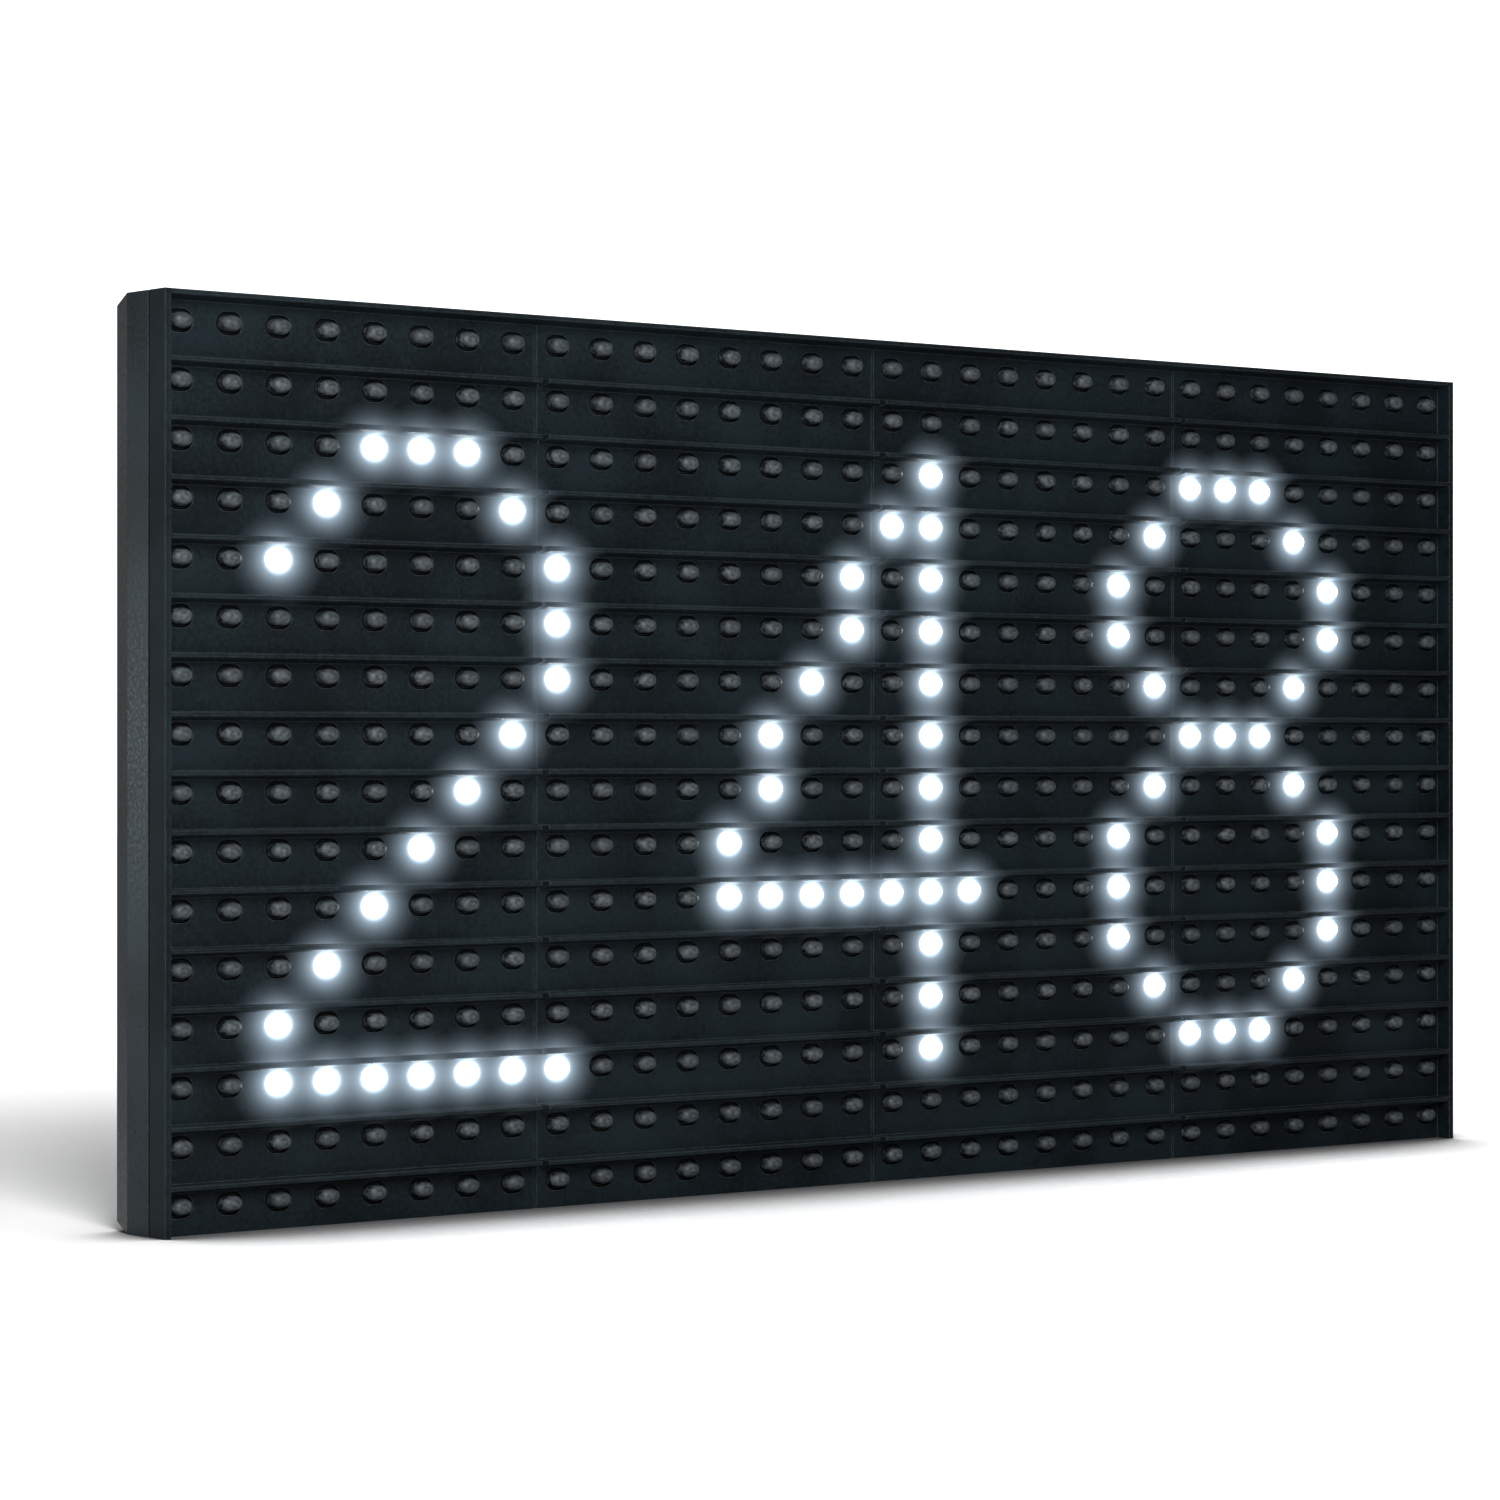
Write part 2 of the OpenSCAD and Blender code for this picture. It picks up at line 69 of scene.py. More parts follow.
# %% [markdown]
# ## Where everything is
# Nothing is typed in twice. The number of LED rows is the number of row nodes, and the pitch follows
# from the mask's height. The lit LEDs are found by asking which cells of the grid the node of lit
# LEDs has points in, so the figures shown here are always the ones that the solids hold.

# %% Read the grid from the frame
mask_low, mask_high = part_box("louver_mask")
board_low, board_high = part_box("circuit_board")
row_nodes = sorted(name for name in nodes if name.startswith("led_row_"))
rows = len(row_nodes)
pitch = (mask_high.z - mask_low.z) / rows
columns = round((mask_high.x - mask_low.x) / pitch)


def node_points(name):
    """Every vertex of a node as an array with a row for each point."""
    mesh = nodes[name].data
    points = np.zeros(len(mesh.vertices) * 3)
    mesh.vertices.foreach_get("co", points)
    return points.reshape(-1, 3)


def cells_of(name):
    """The grid cells [column, row from the top] that a node has points in."""
    points = node_points(name)
    column = np.floor((points[:, 0] - mask_low.x) / pitch)
    row = np.floor((mask_high.z - points[:, 2]) / pitch)
    return np.unique(np.stack([column, row], axis=1), axis=0)


def cell_centres(cells):
    """Centre [x, 0, z] of each cell: half a pitch in from its left and upper edge."""
    x = mask_low.x + (cells[:, 0] + 0.5) * pitch
    z = mask_high.z - (cells[:, 1] + 0.5) * pitch
    return np.stack([x, np.zeros(len(cells)), z], axis=1)


lit_cells = cells_of("lit_leds")
print("grid:", columns, "x", rows, "lit:", len(lit_cells))

# %% [markdown]
# ## Meshes from arrays
# A surface here is a grid of points: rings that lie one behind the other, with the same number of
# points in each. Small tools turn such grids into meshes. They place the points of the rings, number
# the four corners of every cell between them, close a ring with a flat cap, and stamp a finished
# shape at many places at once. All work on whole arrays, so a thousand solder joints take no longer
# to write than one.

# %% Grid and stamp tools
SQUARE_ON = 0.999


def ring_points(x, depths, z):
    """Points of rings that each lie at one depth. x and z are arrays [ring, side]."""
    y = np.repeat(np.asarray(depths)[:, None], x.shape[1], axis=1)
    return np.stack([x, y, z], axis=-1).reshape(-1, 3)


def grid_quads(rings, sides, looped=False):
    """Corner numbers of the cells between rings of points, each closed round. In a looped grid the last
    ring joins the first, as round a hoop."""
    ring, side = np.meshgrid(np.arange(rings if looped else rings - 1), np.arange(sides), indexing="ij")
    next_ring = (ring + 1) % rings
    next_side = (side + 1) % sides
    corners = [(ring, side), (ring, next_side), (next_ring, next_side), (next_ring, side)]
    return np.stack([a * sides + b for a, b in corners], axis=-1).reshape(-1, 4)


def cap(first, sides, reverse=False):
    """Strips of quads across a flat ring with an even number of points, numbered from first. A first ring's
    cap runs in reverse, since it faces the other way."""
    i = np.arange(sides // 2 - 1)
    quads = first + np.stack([i, i + 1, sides - 2 - i, sides - 1 - i], axis=1)
    return quads[:, ::-1] if reverse else quads


def tube_quads(rings, sides):
    """The cells between the rings, and a flat cap on the first and the last of them."""
    last = (rings - 1) * sides
    return np.vstack([grid_quads(rings, sides), cap(0, sides, reverse=True), cap(last, sides)])


def stamp(points, faces, places):
    """Copies of a shape, one shifted to each place: points plus place, face numbers plus a running offset."""
    moved = (points[None, :, :] + places[:, None, :]).reshape(-1, 3)
    offsets = np.arange(len(places))[:, None, None] * len(points)
    return moved, (faces[None, :, :] + offsets).reshape(-1, faces.shape[1])


def make_piece(name, points, faces, material, smooth=True, stands_for=()):
    """A mesh object from arrays, riding on the module, with its finish and the nodes that it stands for.
    Faces that look straight along the depth stay flat: caps, and the cut ends of leads."""
    mesh = bpy.data.meshes.new(name)
    mesh.from_pydata(points, [], faces)
    mesh.validate()
    normals = np.zeros(3 * len(mesh.polygons))
    mesh.polygons.foreach_get("normal", normals)
    flat_end = np.abs(normals[1::3]) > SQUARE_ON
    mesh.polygons.foreach_set("use_smooth", np.logical_and(smooth, ~flat_end))
    mesh.materials.append(material)
    piece = bpy.data.objects.new(name, mesh)
    bpy.context.scene.collection.objects.link(piece)
    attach(piece, "root")
    if stands_for:
        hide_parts(*stands_for)
    print(name, "faces:", len(mesh.polygons))
    return piece


def store(piece, name, values):
    """Keeps one vector for each point in a named attribute, for a material to read."""
    layer = piece.data.attributes.new(name, "FLOAT_VECTOR", "POINT")
    layer.data.foreach_set("vector", np.asarray(values, np.float32).ravel())


# %% [markdown]
# ## Writing materials in code
# A node tree is easier to read as a list of formulas than as a list of links. `feed` fills one
# socket, with a link or a plain value. `add` makes one node and fills its sockets, `group` opens a
# reusable tree with named inputs and outputs, and `use` places such a tree in another one.

# %% Node tools
def is_socket(value):
    return isinstance(value, bpy.types.NodeSocket)


def feed(tree, value, socket):
    """Links another node's output to a socket, or writes a plain value into it."""
    if is_socket(value):
        tree.links.new(value, socket)
    else:
        socket.default_value = value


def add(tree, kind, args=(), **settings):
    """One shader node. Settings are its properties, and args its inputs by order or by name."""
    item = tree.nodes.new("ShaderNode" + kind)
    for key, value in settings.items():
        setattr(item, key, value)
    for key, value in args.items() if isinstance(args, dict) else enumerate(args):
        feed(tree, value, item.inputs[key])
    return item


def math_node(tree, operation, *args):
    """One number worked out from others, by an operation such as MULTIPLY."""
    return add(tree, "Math", args, operation=operation).outputs[0]


def ramp(tree, value, low, high, out_low=0.0, out_high=1.0):
    """A value mapped smoothly from low..high to out_low..out_high."""
    args = {"Value": value, "From Min": low, "From Max": high, "To Min": out_low, "To Max": out_high}
    return add(tree, "MapRange", args, interpolation_type="SMOOTHSTEP").outputs["Result"]


def from_noise(tree, noise, low=0.0, high=1.0):
    """Noise mostly stays between 0.3 and 0.7. This spreads that range over low..high."""
    return ramp(tree, noise, 0.3, 0.7, low, high)


def mix_colour(tree, factor, a, b):
    """Colour a where the factor is 0, and colour b where it is 1."""
    item = add(tree, "Mix", {"Factor": factor}, data_type="RGBA")
    for socket, value in zip([s for s in item.inputs if s.type == "RGBA"], (a, b)):
        feed(tree, value if is_socket(value) else (*value, 1.0), socket)
    return next(s for s in item.outputs if s.type == "RGBA")


def object_axes(tree):
    """The three object coordinates as separate values, in metres."""
    place = add(tree, "TexCoord").outputs["Object"]
    return add(tree, "SeparateXYZ", [place]).outputs


def facing(tree, axis):
    """How far the surface looks along an axis: 1 when straight along it, and -1 when straight away."""
    return add(tree, "SeparateXYZ", [add(tree, "NewGeometry").outputs["Normal"]]).outputs[axis]


def group(name, inputs, outputs):
    """An empty node group: its tree, its input node and its output node. Inputs are {name: default}."""
    tree = bpy.data.node_groups.new(name, "ShaderNodeTree")
    for label, default in inputs.items():
        socket = tree.interface.new_socket(label, in_out="INPUT", socket_type="NodeSocketFloat")
        socket.default_value = default
    for label, kind in outputs.items():
        tree.interface.new_socket(label, in_out="OUTPUT", socket_type="NodeSocket" + kind)
    return tree, tree.nodes.new("NodeGroupInput").outputs, tree.nodes.new("NodeGroupOutput").inputs


def use(tree, shared, **values):
    """Places a shared group in a tree, with its own values, and returns the group's outputs."""
    item = tree.nodes.new("ShaderNodeGroup")
    item.node_tree = shared
    for label, value in values.items():
        feed(tree, value, item.inputs[label.replace("_", " ")])
    return item.outputs


def finish(name, colour, roughness, metallic=0.0, specular=0.5):
    """A material with a Principled shader whose plain numbers sit on its own sockets."""
    material = bpy.data.materials.new(name)
    material.use_nodes = True
    shader = material.node_tree.nodes["Principled BSDF"]
    shader.inputs["Base Color"].default_value = (*colour, 1.0)
    shader.inputs["Roughness"].default_value = roughness
    shader.inputs["Metallic"].default_value = metallic
    shader.inputs["Specular IOR Level"].default_value = specular
    print("finish:", name)
    return material, material.node_tree, shader.inputs


# %% [markdown]
# ## Effects that every finish shares
# Moulded plastic and stamped metal both show a fine grain, and both catch light on their edges. The
# grain is noise at two scales, put out as two values, and the finer one also bumps the normal. The
# edges come from comparing the true normal with one that is rounded over a small radius: where the
# two differ, there is an edge. The rounded normal also gives each sharp solid the soft edge that a
# mould leaves.

# %% Grain and rounded edges
def build_surface_group(same=0.99, apart=0.8):
    """Grain = fine noise, and Mottle = broad noise. Edge rises to 1 as the rounded normal leaves the true
    one and the cosine between them falls from same to apart."""
    tree, given, out = group(
        "surface_detail",
        {"Grain Scale": 1500.0, "Grain Depth": 0.01 * MM, "Mottle Scale": 60.0, "Edge Radius": 0.2 * MM},
        {"Grain": "Float", "Mottle": "Float", "Edge": "Float", "Normal": "Vector"},
    )
    place = add(tree, "TexCoord").outputs["Object"]
    fine = add(tree, "TexNoise", {"Vector": place, "Scale": given["Grain Scale"], "Detail": 2.0}).outputs[0]
    broad = add(tree, "TexNoise", {"Vector": place, "Scale": given["Mottle Scale"], "Detail": 5.0}).outputs[0]
    rounded = add(tree, "Bevel", {"Radius": given["Edge Radius"]}, samples=4).outputs[0]
    true_normal = add(tree, "NewGeometry").outputs["Normal"]
    agreement = add(tree, "VectorMath", [rounded, true_normal], operation="DOT_PRODUCT").outputs["Value"]
    bump = add(tree, "Bump", {"Height": fine, "Distance": given["Grain Depth"], "Normal": rounded}).outputs[0]
    tree.links.new(fine, out["Grain"])
    tree.links.new(broad, out["Mottle"])
    tree.links.new(ramp(tree, agreement, same, apart), out["Edge"])
    tree.links.new(bump, out["Normal"])
    return tree


surface_detail = build_surface_group()


# %% [markdown]
# ## Light round the glowing LEDs
# On the real mask each lit LED throws a bluish pool of light on the plastic round it. LEDs strong
# enough to do that here would also flood the floor, and any scene that the module is put in. So the
# pool is part of the mask's finish: light that falls off with the distance from the lit LEDs. The
# material has to know which LEDs are lit, and a ramp can tell it. Each row of the grid is one step
# of the ramp, and its red and green hold the left and right half of the row as a binary number, one
# bit for each LED.

# %% The lit pattern as a ramp
border = 1
half_row = columns // 2 + border
code_rows = rows + 2 * border


def row_codes():
    """One [left, right] pair of binary numbers for each row, with a border of dark cells all round."""
    lit = np.zeros((code_rows, 2 * half_row))
    lit[lit_cells[:, 1].astype(int) + border, lit_cells[:, 0].astype(int) + border] = 1.0
    return lit.reshape(code_rows, 2, half_row) @ (2.0 ** np.arange(half_row))


def build_pattern_group(rounding=0.001):
    """Lit = 1 where the grid cell [Column, Row] holds a lit LED: bit number Column of the row's code. The
    ramp keeps each code as a share of the next power of two, so it lies below 1, and a little is added
    before the floor against rounding."""
    tree, given, out = group("lit_pattern", {"Column": 0.0, "Row": 0.0}, {"Lit": "Float"})
    step_middle = math_node(tree, "ADD", given["Row"], border + 0.5)
    steps = add(tree, "ValToRGB", [math_node(tree, "DIVIDE", step_middle, code_rows)])
    table = steps.color_ramp
    table.interpolation = "CONSTANT"
    for number, code in enumerate(row_codes() / 2.0**half_row):
        stop = table.elements[0] if number == 0 else table.elements.new(number / code_rows)
        stop.position = number / code_rows
        stop.color = (code[0], code[1], 0.0, 1.0)
    table.elements.remove(table.elements[-1])
    codes = add(tree, "SeparateColor", [steps.outputs["Color"]]).outputs
    place = math_node(tree, "ADD", given["Column"], border)
    right = math_node(tree, "GREATER_THAN", place, half_row - 0.5)
    code = add(tree, "Mix", {"Factor": right, "A": codes["Red"], "B": codes["Green"]}).outputs["Result"]
    bit = math_node(tree, "SUBTRACT", place, math_node(tree, "MULTIPLY", right, half_row))
    weight = math_node(tree, "POWER", 2.0, math_node(tree, "SUBTRACT", half_row, bit))
    shifted = math_node(tree, "ADD", math_node(tree, "MULTIPLY", code, weight), rounding)
    tree.links.new(math_node(tree, "MODULO", math_node(tree, "FLOOR", shifted), 2.0), out["Lit"])
    return tree


lit_pattern = build_pattern_group()
print("row codes:", row_codes().astype(int).tolist())

# %% [markdown]
# ### From lit LEDs to pools
# A point on the mask asks only about the four LEDs round it and adds up what the lit ones give. Close
# to a lens the pool has a brighter core. The louvres stand out in front of the plate that the LEDs
# light, and toward their front edges the pool grows weaker.

# %% Light pools
louvre_reach = 3.4 * MM
plate_front = mask_low.y + louvre_reach


def in_cells(tree, distance):
    """A distance from the mask's edge counted in cells, with whole numbers in the middle of each cell."""
    return math_node(tree, "SUBTRACT", math_node(tree, "DIVIDE", distance, pitch), 0.5)


def build_pool_group(
    reach=1.62 * MM, spread=1.17, peak=2.0, front=0.4, core=1.3, core_low=1.6 * MM, core_high=3.1 * MM
):
    """Pool = peak * sum over the four LEDs of lit * (e ^ -(distance / reach) - edge level), times up to
    1 + core within core_high of an LED's axis, and falling to the share called front where a face stands
    out farthest. Sideways distances are divided by the spread, because an oval lens throws its light
    wide. The edge level is what would be left one pitch to the side, so no edge shows there."""
    edge_level = math.exp(-pitch / (reach * spread))
    tree, _, out = group("light_pools", {}, {"Pool": "Float"})
    axes = object_axes(tree)
    u = in_cells(tree, math_node(tree, "SUBTRACT", axes["X"], mask_low.x))
    v = in_cells(tree, math_node(tree, "SUBTRACT", mask_high.z, axes["Z"]))
    total = 0.0
    for right, down in np.ndindex(2, 2):
        column = math_node(tree, "ADD", math_node(tree, "FLOOR", u), right)
        row = math_node(tree, "ADD", math_node(tree, "FLOOR", v), down)
        lit = use(tree, lit_pattern, Column=column, Row=row)["Lit"]
        sideways = math_node(tree, "DIVIDE", math_node(tree, "SUBTRACT", u, column), spread)
        upright = math_node(tree, "SUBTRACT", v, row)
        offset = add(tree, "CombineXYZ", [sideways, upright, 0.0]).outputs[0]
        apart = add(tree, "VectorMath", [offset], operation="LENGTH").outputs["Value"]
        fall = math_node(tree, "EXPONENT", math_node(tree, "MULTIPLY", apart, -pitch / reach))
        above = math_node(tree, "MAXIMUM", math_node(tree, "SUBTRACT", fall, edge_level), 0.0)
        boost = ramp(tree, apart, core_low / pitch, core_high / pitch, 1.0 + core, 1.0)
        bright = math_node(tree, "MULTIPLY", above, boost)
        total = math_node(tree, "ADD", total, math_node(tree, "MULTIPLY", bright, lit))
    by_depth = ramp(tree, axes["Y"], mask_low.y, plate_front, front * peak, peak)
    tree.links.new(math_node(tree, "MULTIPLY", total, by_depth), out["Pool"])
    return tree


light_pools = build_pool_group()


def add_light_pools(material, tint=(1.0, 1.27, 1.53)):
    """Emission Color = pool * tint on every face that doesn't look backward."""
    tree = material.node_tree
    shader = tree.nodes["Principled BSDF"].inputs
    pool = use(tree, light_pools)["Pool"]
    shown = math_node(tree, "MULTIPLY", pool, ramp(tree, facing(tree, "Y"), 0.6, 0.3))
    tinted = add(tree, "VectorMath", {0: tint, "Scale": shown}, operation="SCALE")
    tree.links.new(tinted.outputs[0], shader["Emission Color"])
    shader["Emission Strength"].default_value = 1.0


# %% [markdown]
# ## Black moulded plastic
# The mask and the frame are glass-filled polycarbonate: nearly black with a cool cast, dull, and
# finely grained. Pure black looks like a hole, so the colour wanders a little, dust greys the faces
# that look up, and a painted highlight, broken up by the grain, lightens the edges.

# %% Plastic finish
def moulded_plastic(name, colour, dust, edge, roughness, specular, radius, contrast=0.4, vary=0.07):
    """Colour = base, speckled a little, mixed with dust on upward faces and with a painted highlight on
    edges.
    """
    material, tree, shader = finish(name, colour, roughness, specular=specular)
    detail = use(
        tree,
        surface_detail,
        Grain_Scale=1400.0,
        Grain_Depth=0.012 * MM,
        Mottle_Scale=45.0,
        Edge_Radius=radius,
    )
    dark = tuple((1 - contrast) * c for c in colour)
    light = tuple((1 + contrast) * c for c in colour)
    coarse = math_node(tree, "MULTIPLY", detail["Mottle"], 0.6)
    fine = math_node(tree, "MULTIPLY", detail["Grain"], 0.4)
    speckle = ramp(tree, math_node(tree, "ADD", coarse, fine), 0.38, 0.62)
    body = mix_colour(tree, speckle, dark, light)
    patches = ramp(tree, detail["Mottle"], 0.35, 0.65, 0.25, 0.6)
    settled = math_node(tree, "MULTIPLY", ramp(tree, facing(tree, "Z"), 0.3, 0.95), patches)
    dusty = mix_colour(tree, settled, body, dust)
    # Painted highlight along the edges, broken up by the grain.
    edge_highlight = math_node(tree, "MULTIPLY", detail["Edge"], from_noise(tree, detail["Grain"], 0.35, 0.8))
    tree.links.new(mix_colour(tree, edge_highlight, dusty, edge), shader["Base Color"])
    varied = from_noise(tree, detail["Grain"], roughness - vary, roughness + vary)
    tree.links.new(varied, shader["Roughness"])
    tree.links.new(detail["Normal"], shader["Normal"])
    return material


# The mask is darker than the frame: two mouldings of different blacks, and partly painted shade that keeps
# the front face darker than the side wall.
mask_plastic = moulded_plastic(
    "mask_plastic",
    colour=(0.0048, 0.0084, 0.0104),
    dust=(0.014, 0.020, 0.023),
    edge=(0.062, 0.077, 0.083),
    roughness=0.62,
    specular=0.08,
    radius=0.3 * MM,
)
frame_plastic = moulded_plastic(
    "frame_plastic",
    colour=(0.0072, 0.0122, 0.0150),
    dust=(0.026, 0.034, 0.039),
    edge=(0.060, 0.073, 0.079),
    roughness=0.34,
    specular=0.08,
    radius=0.3 * MM,
)
add_light_pools(mask_plastic)

# %% [markdown]
# ## The board
# A board is fibreglass under a green lacquer. Over bare laminate the lacquer looks dark, and over
# copper it looks lighter, so the tracks are a piece of their own with the same lacquer in a lighter
# tone. A fine weave of the glass cloth shows through as a faint bump.

# %% Lacquer finish
def lacquer(name, colour, light, thread=0.5 * MM):
    """Colour = two greens mixed by broad noise, with the cloth's weave as crossed waves in the bump."""
    material, tree, shader = finish(name, colour, 0.3)
    place = add(tree, "TexCoord").outputs["Object"]
    broad = add(tree, "TexNoise", {"Vector": place, "Scale": 25.0, "Detail": 4.0}).outputs[0]
    axes = object_axes(tree)
    turns = 2 * math.pi / thread
    across = math_node(tree, "SINE", math_node(tree, "MULTIPLY", axes["X"], turns))
    upright = math_node(tree, "SINE", math_node(tree, "MULTIPLY", axes["Z"], turns))
    weave = math_node(tree, "MULTIPLY", across, upright)
    tree.links.new(mix_colour(tree, from_noise(tree, broad), colour, light), shader["Base Color"])
    tree.links.new(from_noise(tree, broad, 0.24, 0.36), shader["Roughness"])
    bump = add(tree, "Bump", {"Height": weave, "Strength": 0.25, "Distance": 0.01 * MM})
    tree.links.new(bump.outputs[0], shader["Normal"])
    return material


board_lacquer = lacquer("board_lacquer", (0.006, 0.060, 0.026), (0.009, 0.078, 0.034))
track_lacquer = lacquer("track_lacquer", (0.016, 0.125, 0.052), (0.020, 0.145, 0.062))


# %% [markdown]
# ## Metals
# Tinned leads are soft grey with a broken sheen, gold flash is smooth, zinc plate is finely brushed
# and brass is warm. One recipe covers them: fine noise moves the roughness, and broader noise spreads
# a little tarnish in patches.

# %% Metal finish
bright_tin = (0.62, 0.63, 0.64)
bright_tin_roughness = 0.28


def metal(name, colour, tarnish, roughness):
    """Metallic = 1. Colour = bright metal mixed with tarnish by the broad noise, and the roughness follows
    the fine noise, from a little brighter to rather duller."""
    material, tree, shader = finish(name, colour, roughness, metallic=1.0)
    detail = use(
        tree,
        surface_detail,
        Grain_Scale=900.0,
        Grain_Depth=0.004 * MM,
        Mottle_Scale=400.0,
        Edge_Radius=0.06 * MM,
    )
    stained = ramp(tree, detail["Mottle"], 0.4, 0.75)
    tree.links.new(mix_colour(tree, stained, colour, tarnish), shader["Base Color"])
    varied = from_noise(tree, detail["Grain"], roughness - 0.08, roughness + 0.12)
    tree.links.new(varied, shader["Roughness"])
    tree.links.new(detail["Normal"], shader["Normal"])
    return material


solder = metal("solder", bright_tin, (0.38, 0.38, 0.37), bright_tin_roughness)
tin = metal("tin_plate", (0.66, 0.66, 0.65), (0.45, 0.45, 0.44), 0.25)
gold = metal("gold_flash", (0.83, 0.60, 0.24), (0.62, 0.43, 0.17), 0.22)
zinc = metal("zinc_plate", (0.60, 0.62, 0.65), (0.40, 0.41, 0.42), 0.3)
brass = metal("brass", (0.70, 0.50, 0.20), (0.48, 0.33, 0.14), 0.32)


# %% [markdown]
# ## Chips and chip parts
# A chip is black epoxy with tinned leads on two sides, and both are in one solid. Chips stand on
# lines a whole number of pitches from the lower edge, so the distance from the nearest line says
# whether a point lies on the body or on a lead. The same trick gives the small resistors and
# capacitors their tinned ends.

# %% Chip finishes
epoxy = (0.012, 0.012, 0.013)
epoxy_roughness = 0.5
body_slope = 0.16 * MM
resistor_half = 0.6 * MM
capacitor_half = 0.62 * MM


def two_tone(name, inner, inner_roughness, axis, spacing, half, first_line=0.0):
    """Metal where the distance from the nearest line, one every spacing along the axis, is over half."""
    material, tree, shader = finish(name, inner, inner_roughness)
    detail = use(
        tree,
        surface_detail,
        Grain_Scale=2500.0,
        Grain_Depth=0.006 * MM,
        Mottle_Scale=300.0,
        Edge_Radius=0.04 * MM,
    )
    from_first = math_node(tree, "SUBTRACT", object_axes(tree)[axis], first_line)
    off_line = math_node(tree, "PINGPONG", from_first, spacing / 2)
    outer = math_node(tree, "GREATER_THAN", off_line, half)
    light = tuple(1.5 * c + 0.01 for c in inner)
    body = mix_colour(tree, from_noise(tree, detail["Mottle"]), inner, light)
    tree.links.new(mix_colour(tree, outer, body, bright_tin), shader["Base Color"])
    tree.links.new(outer, shader["Metallic"])
    rough = ramp(tree, outer, 0.0, 1.0, inner_roughness, bright_tin_roughness)
    tree.links.new(rough, shader["Roughness"])
    tree.links.new(detail["Normal"], shader["Normal"])
    return material


def half_body(name):
    """Half the width of a chip's body: half its flat top, and what its sides slope out below that."""
    points = node_points(name)
    top = points[points[:, 1] > points[:, 1].max() - 0.05 * MM]
    return (top[:, 2].max() - top[:, 2].min()) / 2 + body_slope


def leftmost_capacitor():
    """Where the leftmost small capacitor stands along X: the line that the others are counted from."""
    points = node_points("decoupling_capacitors")
    near = points[points[:, 0] < points[:, 0].min() + 0.3 * pitch, 0]
    return (near.max() + near.min()) / 2


chip_nodes = [name for name in nodes if name.startswith(("driver_ic", "row_switch", "row_decoder"))]
buffer_nodes = [name for name in nodes if name.startswith("signal_buffer")]
wide_chip = two_tone("chip_epoxy", epoxy, epoxy_roughness, "Z", 2 * pitch, half_body("row_decoder"))
slim_chip = two_tone("slim_chip_epoxy", epoxy, epoxy_roughness, "Z", 2 * pitch, half_body(buffer_nodes[0]))
resistor_film = two_tone("resistor_film", (0.014, 0.014, 0.015), 0.3, "Z", pitch, resistor_half)
ceramic = two_tone(
    "ceramic_body", (0.26, 0.17, 0.09), 0.45, "X", 4 * pitch, capacitor_half, leftmost_capacitor()
)

# %% [markdown]
# ## Moulded connectors and the capacitor cans
# The data headers are black nylon and the power header is natural nylon, a warm white that is
# slightly waxy. The capacitor is a drawn aluminium can: bright, with a fine uneven sheen, a black
# plastic foot and a black segment on its lid that marks the negative side.

# %% Nylon and can
black_nylon = moulded_plastic(
    "black_nylon",
    colour=(0.016, 0.016, 0.017),
    dust=(0.05, 0.05, 0.052),
    edge=(0.06, 0.06, 0.062),
    roughness=0.42,
    specular=0.45,
    radius=0.12 * MM,
)
white_nylon = moulded_plastic(
    "white_nylon",
    colour=(0.62, 0.58, 0.46),
    dust=(0.66, 0.62, 0.52),
    edge=(0.70, 0.67, 0.57),
    roughness=0.4,
    specular=0.45,
    radius=0.15 * MM,
)
aluminium = (0.70, 0.71, 0.72)
foot_black = (0.015, 0.015, 0.016)


def can_finish(foot=1.0 * MM, margin=0.02 * MM, off_middle=1.0 * MM):
    """Aluminium above the foot, black on the foot and on a segment of the lid. The segment lies toward the
    middle of the module on either can, so the distance from that middle finds it."""
    low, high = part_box("bulk_capacitor_1")
    can_middle = abs(low.x + high.x) / 2
    material, tree, shader = finish("capacitor_can", aluminium, 0.25, metallic=1.0)
    axes = object_axes(tree)
    side = math_node(tree, "ABSOLUTE", axes["X"])
    on_foot = math_node(tree, "LESS_THAN", axes["Y"], low.y + foot + margin)
    on_lid = math_node(tree, "GREATER_THAN", axes["Y"], high.y - margin)
    in_segment = math_node(tree, "LESS_THAN", side, can_middle - off_middle)
    marked = math_node(tree, "MULTIPLY", on_lid, in_segment)
    black = math_node(tree, "MAXIMUM", on_foot, marked)
    detail = use(
        tree,
        surface_detail,
        Grain_Scale=700.0,
        Grain_Depth=0.004 * MM,
        Mottle_Scale=200.0,
        Edge_Radius=0.1 * MM,
    )
    tree.links.new(mix_colour(tree, black, aluminium, foot_black), shader["Base Color"])
    tree.links.new(math_node(tree, "SUBTRACT", 1.0, black), shader["Metallic"])
    tree.links.new(from_noise(tree, detail["Grain"], 0.18, 0.34), shader["Roughness"])
    tree.links.new(detail["Normal"], shader["Normal"])
    return material


can_aluminium = can_finish()

# %% Dress the solids that keep their own shape
def dress(names, material):
    """Gives solids that keep their own shape one finish."""
    for name in names:
        mesh = nodes[name].data
        mesh.materials.clear()
        mesh.materials.append(material)
    print(material.name, "on", len(names), "nodes")


dress(["louver_mask"], mask_plastic)
dress(["rear_frame"], frame_plastic)
dress(["circuit_board"], board_lacquer)
dress(chip_nodes, wide_chip)
dress(buffer_nodes, slim_chip)
dress(["resistors"], resistor_film)
dress(["decoupling_capacitors"], ceramic)
dress(["bulk_capacitor_1", "bulk_capacitor_2"], can_aluminium)
dress(["data_in_header", "data_out_header"], black_nylon)
dress(["power_header"], white_nylon)
dress(["mask_screws"], zinc)
dress(["mount_inserts"], brass)

